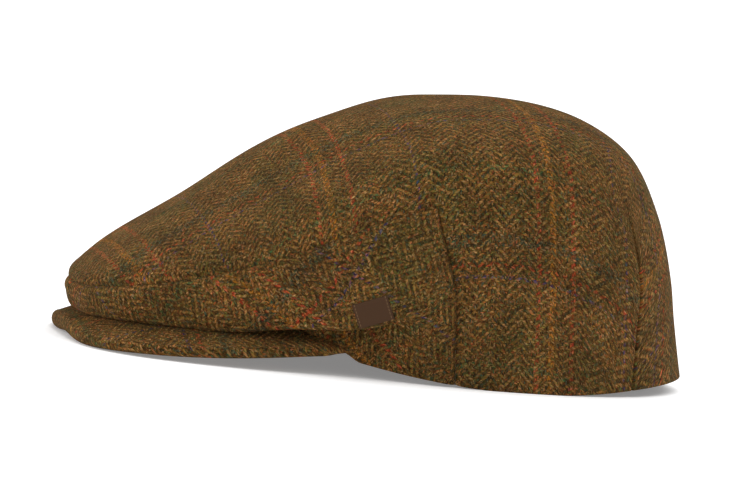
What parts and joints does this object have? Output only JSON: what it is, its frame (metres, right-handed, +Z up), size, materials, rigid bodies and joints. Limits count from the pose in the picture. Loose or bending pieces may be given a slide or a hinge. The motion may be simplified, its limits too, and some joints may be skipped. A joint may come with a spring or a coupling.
{
  "type": "flat cap",
  "caption": "Brown herringbone tweed flat cap with a windowpane check, its full crown sewn over a short stiff peak, with a small plain woven tab on the side.",
  "frame": {"origin": "on the surface it rests on, under the middle of the cap's bounding box", "axes": "+Z up, -Y to the front where the visor points, +X to the wearer's left"},
  "size_m": [0.18, 0.2564, 0.1119],
  "materials": {
    "tweed": "brushed wool tweed, matt and slightly fuzzy",
    "woven_label": "tightly woven ribbon, matt"
  },
  "bodies": {
    "root": {"crown": "tweed", "side_panel_left": "tweed", "side_panel_right": "tweed", "visor": "tweed", "label": "woven_label"}
  },
  "joints": []
}
